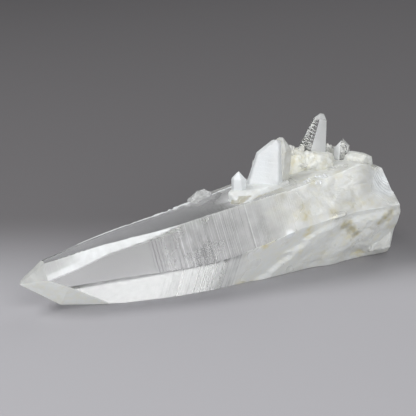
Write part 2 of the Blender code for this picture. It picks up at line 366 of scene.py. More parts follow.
def stair_depth(t, name, share):
    """How far a face lies inside its smooth form at t, in mm."""
    k = bisect.bisect_right(STAIRS, t + RISER * 0.4)
    if k == 0 or k >= len(STAIRS):
        return 0.0
    tread = max(t - STAIRS[k - 1] - RISER / 2, 0.0)
    line = max(1 - abs(t - STAIRS[k - 1]) / (RISER / 2), 0.0)
    return (STAIR_RATE * tread + LINE_CUT * line) * stair_strength(k, name, share)


print("stairs:", len(STAIRS))

# %% [markdown]
# ## The rough base
#
# Towards its base the stone is no clean prism: it is chipped, pitted and overgrown. Small flat chips, each
# with its own tilt, look like broken crystal where plain noise would look like clay. A Voronoi pattern gives
# each chip a centre, and a random tilt for each centre gives it a face.

# %% Chips and hollows
ROUGH_FROM, ROUGH_FULL = 104, 150  # mm from the tip
BROAD_SIZE, CHIP_SIZE, GRIT_SIZE = 15.0, 5.5, 1.6  # mm
BROAD_HEIGHT, CHIP_TILT, GRIT_HEIGHT = 1.3, 0.10, 0.10  # mm, share, mm
BREAK_LEAN = 0.17  # mm the broken end falls back for each mm up
SHELF_START, SHELF_SLANT, SHELF_RISE, SHELF_EDGE = 98, 26, 1.4, 6.0  # mm, the later layer on the lower front
SHELF_UPPER_ANGLE, SHELF_LOWER_ANGLE = 166, 262  # degrees round the axis, between which the layer lies
SHELL_CENTRE, SHELL_REACH = (168, -14, 40), 13.0  # mm, the shell-like break at the upper end
SHELL_PITCH, SHELL_HEIGHT = 1.7, 0.2  # mm, its rings


def chips(point, size, tilt, edge=0.2):
    """Height in mm of a surface of flat chips about size mm across, at a point in mm."""
    distances, centres = noise.voronoi(point / size)
    centre = centres[0]
    lean = noise.noise_vector(centre * 7.3 + Vector((0.5, 3.7, 1.9)))
    level = noise.noise(centre * 3.1) * tilt * size
    whole = smooth((distances[1] - distances[0]) / edge)
    return (lean.dot(point - centre * size) * tilt * 1.6 + level) * whole


def shell_rings(point):
    """The rings of the shell-like break at the upper end, as a height in mm."""
    away = (point - Vector(SHELL_CENTRE)).length
    ring = math.sin(away / SHELL_PITCH * math.tau + 2 * noise.noise(point / 6.0))
    return SHELL_HEIGHT * ring * smooth((away - 3) / 2) * (1 - smooth((away - SHELL_REACH + 3) / 3))


def roughness_height(point):
    """How far the fully rough base stands out at a point in mm, in mm."""
    broad = noise.noise(point / BROAD_SIZE + Vector((3.1, 0.4, 7.7))) * BROAD_HEIGHT * 1.6
    grit = noise.noise(point / GRIT_SIZE) * GRIT_HEIGHT + shell_rings(point)
    swirl = noise.noise_vector(point / 9.0) * 1.6
    drawn = Vector((point.x * 0.55, point.y, point.z)) + swirl
    return broad + chips(drawn, CHIP_SIZE, CHIP_TILT) + chips(drawn, CHIP_SIZE * 0.45, CHIP_TILT * 0.6) + grit


def shelf(t, angle):
    """How far the later layer on the lower front of the base half stands out, in mm."""
    if not SHELF_UPPER_ANGLE - 10 < angle < SHELF_LOWER_ANGLE:
        return 0.0
    slant = min(max((240 - angle) / 60, 0.0), 1.2)
    start = SHELF_START + SHELF_SLANT * slant + 6 * noise.noise(Vector((t / 9.0, angle / 11.0, 4.4)))
    return SHELF_RISE * smooth((t - start) / SHELF_EDGE) * smooth((angle - SHELF_UPPER_ANGLE) / 12)


print("a chip's height at one place:", round(chips(Vector((150, -20, 30)), CHIP_SIZE, CHIP_TILT), 3), "mm")

# %% [markdown]
# ## The long point's mesh
#
# The point is a loft: rings of points round the axis, joined by quads. Each line has three rings, each long
# tread one more, and on the base the rings lie 0.8 mm apart. Each corner is cut to a narrow flat, because
# even a sharp crystal edge catches a thin line of light. The tip is then cut by planes, which lean about as
# far from the axis as on real quartz.

# %% Loft the point
COLUMNS = 26  # points across each face
EDGE_FLAT = 0.16  # mm from a corner to where its flat starts
BASE_STEP = 0.8  # mm between rings beyond the stairs
BEFORE_TIP = (-6.0, -3.0, 0.0)  # mm, rings past the tip that the tip's planes cut away
LONG_TREAD = 0.9  # mm, above which a tread gets a ring in its middle
RIM_WIDTH, RIM_DEPTH, RIM_FROM = 1.8, 0.9, 38  # mm, the chipped rim between the top and upper rear faces
# the rings of the broken end: their share of the section's size, and mm that they bulge
BREAK_RINGS = (
    (0.97, 0.3), (0.92, 0.8), (0.84, 1.3), (0.74, 1.8), (0.62, 2.2),
    (0.5, 2.5), (0.38, 2.6), (0.26, 2.6), (0.14, 2.6),
)
BREAK_RELIEF, BREAK_RIM = 2.4, 0.4  # mm, share over which the relief grows from the rim inwards
# degrees round the axis, degrees that the face leans from the axis, mm from the axis at the tip
TIP_FACES = (
    (90, 41.2, 0.0), (150, 40.2, 0.0), (211, 31.2, 0.0), (270, 36.2, 0.25), (330, 38.2, 0.6), (30, 40.2, 1.2),
    (214.4, 13.0, 5.95),
)


def break_slant(t, z):
    """How far a point near the base moves along the axis, so that the broken end leans."""
    return -BREAK_LEAN * z * smooth((t - ROUGH_FROM) / (LENGTH - ROUGH_FROM))


def rim_chips(t, name, share, width):
    """How deep the rear rim of the top face is chipped, in mm."""
    if name not in ("top", "rear_upper"):
        return 0.0
    from_rim = share * width if name == "top" else (1 - share) * width
    near = 1 - smooth(from_rim / RIM_WIDTH)
    chip = noise.noise(Vector((t / 1.9, from_rim / 1.3, 5.5)))
    chip += 0.5 * noise.noise(Vector((t / 6.0, 0.0, 2.2)))
    return RIM_DEPTH * near * smooth((t - RIM_FROM) / 30) * max(chip + 0.15, 0.0)


def section(t, stairs=True):
    """The outline at t as (y, z) pairs, face by face, with the stairs cut into it."""
    found = corners(t)
    names = list(PRISM_ANGLES)
    points = []
    for k in range(6):
        # The side from corner k to corner k + 1 belongs to the next face in order.
        name = names[(k + 1) % 6]
        angle = math.radians(PRISM_ANGLES[name])
        start, end = Vector(found[k]), Vector(found[(k + 1) % 6])
        flat = min(EDGE_FLAT / max((end - start).length, 0.01), 0.3)
        for column in range(COLUMNS):
            share = flat + (1 - 2 * flat) * column / (COLUMNS - 1)
            spot = start.lerp(end, share)
            if stairs:
                inwards = stair_depth(t, name, share) + rim_chips(t, name, share, (end - start).length)
                spot = spot - Vector((math.cos(angle), math.sin(angle))) * inwards
            points.append((spot.x, spot.y))
    return points


def main_ring(t):
    """One ring of the long point in the frame's metres."""
    rough = smooth((t - ROUGH_FROM) / (ROUGH_FULL - ROUGH_FROM))
    ring = []
    for y, z in section(t):
        point = on_axis(t + break_slant(t, z), y, z)
        angle = math.degrees(math.atan2(z, y)) % 360
        out = shelf(t, angle)
        if rough > 0:
            out += rough * roughness_height((point - ORIGIN) / MM)
        ring.append(point + Vector((0, y, z)).normalized() * out * MM)
    return ring


def break_ring(share, bulge):
    """One ring of the broken end, smaller than the section and bulging from it."""
    ring = []
    for y, z in section(LENGTH, stairs=False):
        point = on_axis(LENGTH + break_slant(LENGTH, z * share), y * share, z * share)
        spot = (point - ORIGIN) / MM
        relief = noise.noise(spot / 10.7) + 0.5 * noise.noise(spot / 6.0)
        inner = smooth((1 - share) / BREAK_RIM)
        out = bulge + BREAK_RELIEF * relief * inner + chips(spot, 7.0, 0.2) * inner
        ring.append(point + Vector((out * MM, 0, 0)))
    return ring


def ring_stations():
    """Where the long point's rings lie, in mm from the tip: three for each line, then evenly."""
    found = list(BEFORE_TIP)
    for edge, after in zip(STAIRS, STAIRS[1:]):
        found += [edge - RISER / 2, edge, edge + RISER / 2]
        if after - edge > LONG_TREAD + RISER:
            found.append((edge + after) / 2)
    last = STAIRS[-1]
    base = math.ceil((LENGTH - last) / BASE_STEP)
    return found + [last + (LENGTH - last) * k / base for k in range(base + 1)]


print("rings:", len(ring_stations()), "along the stone and", len(BREAK_RINGS), "on its broken end")

# %% [markdown]
# ## Cutting the tip
#
# A tip face is one plane, given by the way it faces and by how far it lies from the axis. Whatever stands
# beyond the plane is cut away, and the cut is closed with one flat face.

# %% Cut the tip and close the point
def cut(bm, point, outward):
    """Cuts everything beyond a plane away and closes the cut with one flat face."""
    geometry = bm.verts[:] + bm.edges[:] + bm.faces[:]
    found = bmesh.ops.bisect_plane(
        bm, geom=geometry, dist=1e-7, plane_co=point, plane_no=outward.normalized(), clear_outer=True)
    edges = [e for e in found["geom_cut"] if isinstance(e, bmesh.types.BMEdge)]
    if edges:
        bmesh.ops.edgenet_fill(bm, edges=edges)


def finish_mesh(bm, name):
    """Closes and triangulates a bmesh, turns its faces out, and makes an object of it."""
    bmesh.ops.remove_doubles(bm, verts=bm.verts, dist=1e-6)
    bmesh.ops.triangulate(bm, faces=[f for f in bm.faces if len(f.verts) > 4])
    bmesh.ops.recalc_face_normals(bm, faces=bm.faces)
    mesh = bpy.data.meshes.new(name)
    bm.to_mesh(mesh)
    bm.free()
    return new_object(name, mesh)


def tip_plane(angle, lean, distance):
    """A point on a tip face and the way that face points, in the frame's metres."""
    y, z = math.cos(math.radians(angle)), math.sin(math.radians(angle))
    tilt = math.radians(lean)
    outward = on_axis(-math.sin(tilt), y * math.cos(tilt), z * math.cos(tilt)) - on_axis(0, 0, 0)
    return on_axis(0, y * distance, z * distance), outward


def long_point():
    """The loft with its tip cut to faces."""
    bm = bmesh.new()
    rings = [main_ring(t) for t in ring_stations()]
    rings += [break_ring(share, bulge) for share, bulge in BREAK_RINGS]
    loops = [[bm.verts.new(point) for point in ring] for ring in rings]
    for first, second in zip(loops, loops[1:]):
        for k in range(len(first)):
            after = (k + 1) % len(first)
            bm.faces.new((first[k], first[after], second[after], second[k]))
    bm.faces.new(loops[0])
    end = bm.verts.new(sum((v.co for v in loops[-1]), Vector()) / len(loops[-1]))
    for k in range(len(loops[-1])):
        bm.faces.new((loops[-1][k], loops[-1][(k + 1) % len(loops[-1])], end))
    bmesh.ops.recalc_face_normals(bm, faces=bm.faces)
    for values in TIP_FACES:
        cut(bm, *tip_plane(*values))
    return finish_mesh(bm, "long_point")


body = long_point()
print("long point:", len(body.data.vertices), "points")

# %% [markdown]
# ## The smaller crystals
#
# Each smaller crystal is the same thing at another size: a six-sided prism that narrows a little, with six
# tip faces, some cut deeper than others. One function makes them all from a root, a tip and a width. A blade
# is flattened into two broad faces, and the tall crystal tapers all the way to a blunt tip. The larger ones
# get ribs, each of which stands out a little more towards the tip and then steps in.

# %% Functions for pointed crystals
RHOMB_LEAN = math.radians(38.2)  # between a tip face and the axis
CRYSTAL_EDGE = 0.2  # mm
BLUNT_WAY = Vector((0.12, 0.05, 1))  # which way a broken tip faces


def level_way(degrees):
    """The level unit vector that many degrees round from +X."""
    return Vector((math.cos(math.radians(degrees)), math.sin(math.radians(degrees)), 0))


def add_ribs(bm, height, pitch, depth, corner=None):
    """Cuts rings across a prism every pitch mm, and moves them in and out by depth mm.

    With a corner, an angle in degrees, the ribs are on one side of it only, deep at it and fading away.
    """
    towards = level_way(corner).xy if corner is not None else None
    half = RISER / 2
    rungs = [k * pitch for k in range(1, int(height * 1.2 / pitch) + 1)]
    for rung in rungs:
        for level in (rung - half, rung + half):
            geometry = bm.verts[:] + bm.edges[:] + bm.faces[:]
            bmesh.ops.bisect_plane(
                bm, geom=geometry, dist=1e-7, plane_co=(0, 0, level * MM), plane_no=(0, 0, 1))
    for vertex in bm.verts:
        level = vertex.co.z / MM
        if half < level:
            outward = vertex.co.xy.normalized()
            near = 1
            if towards:
                near = max(outward.dot(towards), 0.0) ** 3 if towards.cross(outward) < 0 else 0
            vertex.co.xy += outward * near * depth * ((level - half + 1e-4) % pitch) / pitch * MM


def point_crystal(name, root, tip_at, width, taper, roll, broad=None, setbacks=(0, 1, 0, 1, 0, 1),
                  ribs=None, edge=CRYSTAL_EDGE, belly=None, blunt=0.0):
    """A crystal from root to tip in mm. width is across its corners, and the rest shapes it:

    taper is the share of its width left at one and a half times its height, roll turns it about its axis in
    degrees, and setbacks says how many mm deeper each tip face cuts. broad is for a blade: its thickness as a
    share of a regular crystal's, and how far its two broad faces reach, as a share of its half width. ribs is
    their pitch and depth in mm. belly is the share of the width left at the tip, and a power: above 1, the
    crystal keeps its width longer and then narrows quickly. blunt is how many mm of the tip are broken off.
    """
    root, tip_at = place(*root), place(*tip_at)
    height = (tip_at - root).length
    bm = bmesh.new()
    bmesh.ops.create_cone(
        bm, cap_ends=True, segments=6, radius1=width / 2 * MM, radius2=width / 2 * taper * MM,
        depth=height * 1.5)
    bmesh.ops.translate(bm, verts=bm.verts, vec=(0, 0, height * 0.75))
    if broad:
        thickness, reach = broad
        for vertex in bm.verts:
            # The corners at +Y and -Y are the blade's two edges. The other four bound its broad faces.
            if 0.1 < vertex.co.xy.angle(Vector((0, 1))) < math.pi - 0.1:
                vertex.co.y *= reach / math.sin(math.radians(30))
            vertex.co.x *= thickness
    bmesh.ops.bevel(bm, geom=bm.edges[:], offset=edge * MM, segments=1, affect="EDGES", clamp_overlap=True)
    if ribs:
        add_ribs(bm, height / MM, *ribs)
    if belly:
        left, power = belly
        for vertex in bm.verts:
            vertex.co.xy *= 1 - (1 - left) * min(max(vertex.co.z / height, 0.0), 1.1) ** power
    level = math.cos(RHOMB_LEAN)
    for k, setback in enumerate(setbacks):
        angle = math.radians(60 * k)
        outward = Vector((math.cos(angle) * level, math.sin(angle) * level, math.sin(RHOMB_LEAN)))
        cut(bm, Vector((0, 0, height - setback * MM)), outward)
    if blunt:
        cut(bm, Vector((0, 0, height - blunt * MM)), BLUNT_WAY)
    bmesh.ops.remove_doubles(bm, verts=bm.verts, dist=2e-5)
    turn = (tip_at - root).to_track_quat("Z", "Y").to_matrix().to_4x4()
    matrix = Matrix.Translation(root) @ turn @ Matrix.Rotation(math.radians(roll), 4, "Z")
    bmesh.ops.transform(bm, matrix=matrix, verts=bm.verts)
    bmesh.ops.triangulate(bm, faces=bm.faces[:])
    made = finish_mesh(bm, name)
    axes[name] = (root, (tip_at - root).normalized())
    return made


axes = {"long_point": (place(0, 0, TIP_HEIGHT), Vector((math.cos(AXIS_PITCH), 0, math.sin(AXIS_PITCH))))}
print("tip faces lean", round(math.degrees(RHOMB_LEAN), 1), "degrees from the axis")

# %% [markdown]
# ## Broken lumps
#
# Between the points the stone is broken or grown over in small steps. A lump starts as a block from which
# flat chips are cut. That alone looks too clean, so its surface is divided evenly by a voxel remesh, and
# every point is then moved along its normal by the same pattern of small tilted chips as on the base.

# %% Function for broken lumps
LUMP_VOXEL = 0.75  # mm
LUMP_CHIP, LUMP_TILT, LUMP_GRIT = 3.6, 0.17, 0.22  # mm, share, mm


def evaluated(made):
    """The object's mesh with its modifiers applied."""
    depsgraph = bpy.context.evaluated_depsgraph_get()
    return bpy.data.meshes.new_from_object(made.evaluated_get(depsgraph))


def chunk(name, centre, size, cuts, seed, turn=(0, 0, 0), roughness=1.0):
    """A broken lump: a block of this size in mm with flat chips cut from it, and a chipped surface."""
    rng = random.Random(seed)
    bm = bmesh.new()
    bmesh.ops.create_cube(bm, size=1.0)
    for _ in range(cuts):
        outward = Vector((rng.gauss(0, 1), rng.gauss(0, 1), rng.gauss(0, 1))).normalized()
        cut(bm, outward * rng.uniform(0.43, 0.58), outward)
    spin = Matrix.Rotation(math.radians(turn[2]), 4, "Z") @ Matrix.Rotation(math.radians(turn[1]), 4, "Y")
    spin = spin @ Matrix.Rotation(math.radians(turn[0]), 4, "X")
    matrix = Matrix.Translation(place(*centre)) @ spin @ Matrix.Diagonal((*[s * MM for s in size], 1))
    bmesh.ops.transform(bm, matrix=matrix, verts=bm.verts)
    plain = finish_mesh(bm, name + "_plain")
    remesh = plain.modifiers.new("even", "REMESH")
    remesh.mode, remesh.voxel_size = "VOXEL", LUMP_VOXEL * MM
    mesh = evaluated(plain)
    bpy.data.objects.remove(plain)
    for vertex, normal in [(v, v.normal.copy()) for v in mesh.vertices]:
        spot = (vertex.co - ORIGIN) / MM
        out = chips(spot, LUMP_CHIP, LUMP_TILT) + chips(spot, LUMP_CHIP * 0.45, LUMP_TILT)
        out += noise.noise(spot / 0.9) * LUMP_GRIT + shell_rings(spot)
        vertex.co += normal * out * roughness * MM
    return new_object(name, mesh)


print("a lump's points lie", LUMP_VOXEL, "mm apart")

# %% [markdown]
# ## Growing them on the point
#
# The milky blade and its twin stand on the back of the point, with a short spur before them. Behind come a
# tall tapering crystal, a small clear one and broken growth. A second point runs along the far edge.

# %% Make the growths
growths = [
    point_crystal("companion", (166, 17, 34.5), (79, 11, 24.5), 23, 0.5, 8, setbacks=(1, 0, 2, 0, 1, 3),
                  ribs=(1.9, 0.12)),
    chunk("break_upper", (162, 3, 33), (16, 28, 17), 30, 31, turn=(10, -12, 8)),
    chunk("break_rear", (159, 19.5, 30.5), (24, 21, 25), 30, 17, turn=(3, 9, -6)),
    chunk("break_foot", (167, -6, 11.5), (14, 21, 18), 30, 9, turn=(0, 6, 10), roughness=0.6),
    point_crystal("milky_blade", (110.4, -2, 32), (113.4, -3.8, 59.9), 18.4, 0.2, -6, broad=(0.55, 0.8),
                  setbacks=(0.8, 1.1, 1.1, -5, -4, -4), ribs=(2.3, 0.05), edge=0.4, blunt=0.3),
    point_crystal("milky_twin", (117, -1, 33), (119, -3, 60.3), 12, 0.7, 10, setbacks=(1, 0, -2, 0.6, 0, 0),
                  ribs=(1.7, 0.06)),
    point_crystal("milky_spur", (98.4, -3, 32), (98.1, -3, 48.1), 7.0, 0.85, 20,
                  setbacks=(0.4, 0.8, 0.5, 1, 0, 0.2)),
    chunk("milky_foot", (106, -4, 36.9), (27, 15, 7), 14, 3, turn=(0, -4, 8), roughness=0.3),
    point_crystal("ledge", (128, -8, 34.5), (89, -9, 35.2), 9, 0.7, 30, setbacks=(0, 2, 0, 2, 0, 2)),
    point_crystal("tall_point", (139.8, 6.5, 44), (146.8, 8, 65.6), 16.2, 1.0, -22,
                  setbacks=(0.9, 0.5, 0.2, 0.4, 0.3, 1.2), ribs=(1.5, 0.7, 150), belly=(0.26, 1.08),
                  blunt=1.5),
    point_crystal("clear_point", (153, 2, 40), (152.5, 0.5, 54.9), 7.4, 0.92, 30,
                  setbacks=(1.0, 1, 1.5, 0, 0, 0.5)),
    chunk("druse_wall", (132, 7, 42.5), (25, 17, 14), 26, 11, turn=(6, -8, 3)),
    chunk("druse_back", (146, 11, 41.5), (26, 16, 10), 26, 5, turn=(0, -4, -6)),
    chunk("druse_front", (140.5, 0.5, 43), (17, 11, 12.5), 22, 13, turn=(8, 5, 12)),
    chunk("stub", (158.5, -3, 43.6), (12, 11, 8.0), 18, 8, turn=(4, 6, 12), roughness=0.6),
    chunk("nub", (84.5, 8, 34), (10, 7, 5.5), 16, 21, turn=(0, -10, 20)),
]
print(len(growths), "growths")

# %% [markdown]
# ## The druse
#
# Druse is a crust of small points. Eighteen larger ones lean every way behind the tall crystals. The finer
# ones grow straight out of the lumps: a ray dropped on a lump finds where one stands and which way it faces.
# A few splinters are grown on the long point in the same way, beside its front ridge. Their white is a
# painted glint.

# %% Grow the druse
DRUSE_COUNT, DRUSE_SEED = 18, 9
DRUSE_FROM, DRUSE_TO, DRUSE_BACK, DRUSE_SPREAD = 119, 158, 10.5, 6.0  # mm along, mm across
DRUSE_LOW, DRUSE_HIGH, DRUSE_REACH = 38.5, 40, (6.0, 10.5)  # mm up, mm long
# how many, seed, reach in mm, mm along and mm across
FINE = (70, 4, (1.6, 4.2), ((119, 160), (-6, 19)))
SPLINTERS = (16, 6, (1.0, 2.2), ((124, 136), (-16, -10)))


def large_druse():
    """The larger points, evenly spaced along the stone and leaning at random."""
    rng = random.Random(DRUSE_SEED)
    points = []
    for k in range(DRUSE_COUNT):
        share = k / (DRUSE_COUNT - 1)
        x = DRUSE_FROM + (DRUSE_TO - DRUSE_FROM) * share
        y = DRUSE_BACK + rng.uniform(-DRUSE_SPREAD, DRUSE_SPREAD)
        z = DRUSE_LOW + (DRUSE_HIGH - DRUSE_LOW) * share
        reach = rng.uniform(*DRUSE_REACH)
        lean = (rng.uniform(-0.7, 0.5), rng.uniform(-0.7, 0.9), 1.0)
        points.append(point_crystal(
            f"druse_{k:02d}", (x, y, z), (x + lean[0] * reach, y + lean[1] * reach, z + lean[2] * reach),
            reach * rng.uniform(0.5, 0.75), 0.9, rng.uniform(0, 60), edge=0.12))
    return points


def fine_druse(name, lumps, count, seed, reaches, area):
    """Small points on the lumps, each roughly square to the face it stands on."""
    rng = random.Random(seed)
    grounds = [BVHTree.FromObject(lump, bpy.context.evaluated_depsgraph_get()) for lump in lumps]
    points = []
    for k in range(count):
        above = place(rng.uniform(*area[0]), rng.uniform(*area[1]), 100)
        jitter = Vector((rng.uniform(-0.5, 0.5), rng.uniform(-0.6, 0.4), rng.uniform(0.1, 0.5)))
        reach, slim, roll = rng.uniform(*reaches), rng.uniform(0.45, 0.8), rng.uniform(0, 60)
        hits = [hit for hit in (ground.ray_cast(above, Vector((0, 0, -1))) for ground in grounds) if hit[0]]
        if not hits:
            continue
        spot, normal = max(hits, key=lambda hit: hit[0].z)[:2]
        root = (spot - ORIGIN) / MM - normal
        out = (normal + jitter).normalized() * (reach + 1)
        points.append(point_crystal(f"{name}_{k:02d}", root, root + out, reach * slim, 0.9, roll, edge=0.08))
    return points


lumps = [made for made in growths if made.name in ("druse_wall", "druse_back")]
growths += large_druse()
growths += fine_druse("fine", lumps, *FINE)
growths += fine_druse("splinter", [body], *SPLINTERS)
print(len(growths), "growths with the druse")

# %% [markdown]
# ## Joining them
#
# Light must pass from one crystal into the next with no wall between them, so they are joined into one closed
# skin. The manifold solver is quick and keeps the skin closed. Before that, one search tree over all growths
# keeps which face belongs to which crystal, because the joined skin no longer says.

# %% Join and cut
def boolean(target, other, operation):
    """Adds a Boolean modifier that joins or cuts other."""
    modifier = target.modifiers.new(other.name, "BOOLEAN")
    modifier.operation, modifier.solver, modifier.object = operation, "MANIFOLD", other


def search_tree(parts):
    """One tree over several objects' faces, and the name of the object that each face is from."""
    points, faces, names = [], [], []
    for part in parts:
        first = len(points)
        points += [v.co.copy() for v in part.data.vertices]
        faces += [[first + k for k in face.vertices] for face in part.data.polygons]
        names += [part.name] * len(part.data.polygons)
    return BVHTree.FromPolygons(points, faces), names


FLOOR_SIZE = (0.5, 0.3, 0.2)  # m


def floor_block():
    """A block under the table's level, which cuts off whatever stands out below."""
    bm = bmesh.new()
    bmesh.ops.create_cube(bm, size=1.0)
    matrix = Matrix.Translation((0, 0, -FLOOR_SIZE[2] / 2)) @ Matrix.Diagonal((*FLOOR_SIZE, 1))
    bmesh.ops.transform(bm, matrix=matrix, verts=bm.verts)
    return finish_mesh(bm, "floor_block")


growth_tree, growth_names = search_tree(growths)
first, *others = growths
for other in others:
    boolean(first, other, "UNION")
group = new_object("group", evaluated(first))
floor = floor_block()
boolean(body, group, "UNION")
boolean(body, floor, "DIFFERENCE")
skin = evaluated(body)
for used in (body, group, floor, *growths):
    bpy.data.objects.remove(used)
cluster = new_object("crystal", skin)
triangles = sum(len(face.vertices) - 2 for face in skin.polygons)
print("joined skin:", len(skin.vertices), "points,", triangles, "triangles")

# %% [markdown]
# ## Where it is milky, frosted and stained
#
# Milky quartz is full of tiny fluid bubbles, and the clear and milky parts run into each other. Frost is a
# surface that is finely pitted or broken. Iron leaves a yellow stain in cracks. Each is a value from 0 to 1
# on every corner of every face. It comes from which crystal the face is on, and on the long point from how
# far the corner lies from the tip and on which face. A few single faces of the small crystals have their own.
# A fourth value is the distance along the crystal's own axis, for its finest growth lines.
# Some of the milk is painted light: the white band under the upper front ridge, the lower front face's veil,
# the cream of two tip faces, the tall crystal's white tip, two faces of the clear point, the splinters and
# one crack, and the evening out of the base's lower and other faces.

# %% Values of each crystal
# milk, frost and stain of each growth; the splinters' white is a painted glint
LOOKS = {
    "milky_blade": (0.8, 0.5, 0.0), "milky_twin": (0.6, 0.4, 0.1), "milky_spur": (0.85, 0.55, 0.0),
    "milky_foot": (0.85, 0.7, 0.05), "ledge": (0.45, 0.5, 0.2), "tall_point": (0.06, 0.05, 0.0),
    "clear_point": (0.08, 0.0, 0.0), "druse_wall": (0.85, 0.7, 0.22), "druse_back": (0.7, 0.7, 0.1),
    "druse_front": (0.85, 0.6, 0.14), "splinter": (0.9, 0.3, 0.0), "stub": (0.78, 0.6, 0.1),
    "nub": (0.35, 0.3, 0.0), "companion": (0.25, 0.2, 0.05), "break_upper": (0.55, 0.45, 0.1),
    "break_rear": (0.5, 0.5, 0.1), "break_foot": (0.72, 0.5, 0.08), "druse": (0.6, 0.4, 0.1),
    "fine": (0.7, 0.4, 0.12),
}
TOUCH = 1.5e-4  # m, since a four-sided face may be split along its other diagonal in the join
ON_PLANE, TIP_ENDS = 0.01, 62  # mm off a tip face that still counts as on it, mm from the tip
BLEND_SHARE, BLEND = 0.8, 4.0  # how much of a growth's milk the long point takes on, within how many mm
CREAM_TIP_FACES = (2, 6)  # places in TIP_FACES of the two cream-coloured tip faces
# The two cream tip faces are frosted and a little stained, and their cream white is partly a painted
# reflection.
CREAM_SHEEN_LOOK, CLEAR_TIP_LOOK = (0.97, 0.5, 0.1), (0.45, 0.35, 0.05)
FACING = 0.75  # the least cosine at which a face counts as facing a given way
# Single faces that look different: whose, which way they face in degrees round from +X, then their look.
# Those of the clear point are painted highlights.
FACE_LOOKS_AND_GLINTS = (
    ("tall_point", 260, (0.48, 0.6, 0.0)),
    ("clear_point", 182, (0.75, 0.3, 0.0)),
    ("clear_point", 302, (0.4, 0.3, 0.0)),
)
# The tall crystal's tip above this height is frosted and painted white, a painted highlight.
TIP_HIGHLIGHT_LOOK, TIP_HIGHLIGHT_FROM = (0.5, 0.4, 0.0), 62.5  # mm up on the tall crystal
# The white band under the upper front ridge, a painted reflection: mm from the tip, share of the face's
# width.
REFLECTION_BAND = ((4, 0.8), (12, 0.62), (21, 0.5), (35, 0.28), (52, 0.16), (66, 0.0))
# Where the rough base begins on a face, in mm from the tip, and over how many mm it grows whole.
BASE_FROM = {"front_lower": (85, 16), "front_upper": (88, 42), "bottom": (85, 30)}
BASE_ELSEWHERE = (92, 42)
# x, y, z and radius in mm, then milk, frost and stain: six stained hollows, the shell-like break, and the
# crack on the lower front, whose glitter is a painted highlight.
SPOTS_AND_GLINT = (
    (141.4, -21.0, 21.8, 2.6, 0.5, 0.5, 0.42), (145.1, -19.5, 18.4, 2.4, 0.5, 0.5, 0.36),
    (148.5, -18.6, 15.7, 2.0, 0.5, 0.5, 0.32), (158.9, -21.5, 20.0, 1.6, 0.5, 0.5, 0.42),
    (160.8, -23.2, 23.0, 1.7, 0.5, 0.5, 0.42), (163.2, -23.4, 25.0, 1.7, 0.5, 0.5, 0.36),
    (163, -17, 35.5, 8.0, 0.85, 0.4, 0.0), (111.9, -22.9, 22.7, 2.0, 0.95, 0.2, 0.0),
)
# Milk and frost of the long point: where it is clear, what the rough base adds, and how far that varies.
CLEAR_MILK, BASE_MILK, PATCHY_MILK = 0.03, 0.72, 0.09
CLEAR_FROST, BASE_FROST, PATCHY_FROST = 0.02, 0.52, 0.12
BASE_STAIN, VEIN_STAIN = 0.09, 0.5  # all over the base, and in its veins
# Painted light and shade: the two lower faces of the base are whiter and the others less white, to even out
# the shade on the lower ones.
PAINTED_LIGHT_LOWER_BASE, PAINTED_SHADE_OTHER_BASE = 0.22, -0.08  # more milk on two lower faces of the base, and less on its others
LINE_MILK = 0.55  # on a whitened growth line
# The white band's milk is a painted reflection; its frost makes it rough.
REFLECTION_BAND_MILK, REFLECTION_BAND_FROST = 0.66, 0.3  # in the white band
HAZE_FROM, HAZE_SPAN, HAZE_MILK, HAZE_FROST = 36, 34, 0.13, 0.1  # mm, mm, the upper front face's thin haze
WISP_MILK = 0.22  # in the wisps among its strongest lines
# The lower front face's veil is painted white, a painted reflection of the light from behind that its faces
# throw forward.
LOWER_SHEEN_MILK, LOWER_SHEEN_FROST, STREAK = 0.3, 0.2, 0.55  # the lower front face's veil, and how far streaks clear it
RIM_WHITE = 0.85  # along the chipped rear rim


print("looks of", len(LOOKS), "growths and", len(FACE_LOOKS_AND_GLINTS), "single faces")

# %% [markdown]
# ## From the tables to a place on the stone
#
# A growth looks the same all over. On the long point each face has its own look, which changes on the way
# from the clear tip to the milky base.

# %% The look of a place
def growth_look(name):
    """A growth's own look, or the one that all of its numbered kind share."""
    return LOOKS[name] if name in LOOKS else LOOKS[name.split("_")[0]]


def along_and_up(spot):
    """Distance along the long point's axis, across it and up from it, in mm."""
    local = (spot - ORIGIN) / MM - Vector((0, 0, TIP_HEIGHT))
    t = local.x * math.cos(AXIS_PITCH) + local.z * math.sin(AXIS_PITCH)
    return t, local.y, local.z * math.cos(AXIS_PITCH) - local.x * math.sin(AXIS_PITCH)


# a point on each tip face, and its outward normal
TIP_PLANES = [(point, way.normalized()) for point, way in (tip_plane(*face) for face in TIP_FACES)]


def nearest_face(spot):
    """The long point's tip face, as its place in TIP_FACES, or its prism face by name."""
    t, y, z = along_and_up(spot)
    if t < TIP_ENDS:
        for k, (point, outward) in enumerate(TIP_PLANES):
            if abs((spot - point).dot(outward)) < ON_PLANE * MM:
                return k

    def off(name):
        angle = math.radians(PRISM_ANGLES[name])
        return abs(along(FACE_DISTANCE[name], t) - (y * math.cos(angle) + z * math.sin(angle)))

    return min(PRISM_ANGLES, key=off)


def reflection_band_edge(t):
    """How far the white band under the upper front ridge, a painted reflection, reaches across the face, as a
    share of its width.
    """
    for (t0, share0), (t1, share1) in zip(REFLECTION_BAND, REFLECTION_BAND[1:]):
        if t0 <= t <= t1:
            return share0 + (share1 - share0) * (t - t0) / (t1 - t0)
    return 0.0


def share_from_ridge(t, y, z):
    """Where a point of the upper front face lies between its upper ridge, 0, and its lower one, 1."""
    upper, lower = (Vector(corner) for corner in corners(t)[:2])
    return (Vector((y, z)) - upper).dot(lower - upper) / (lower - upper).length_squared


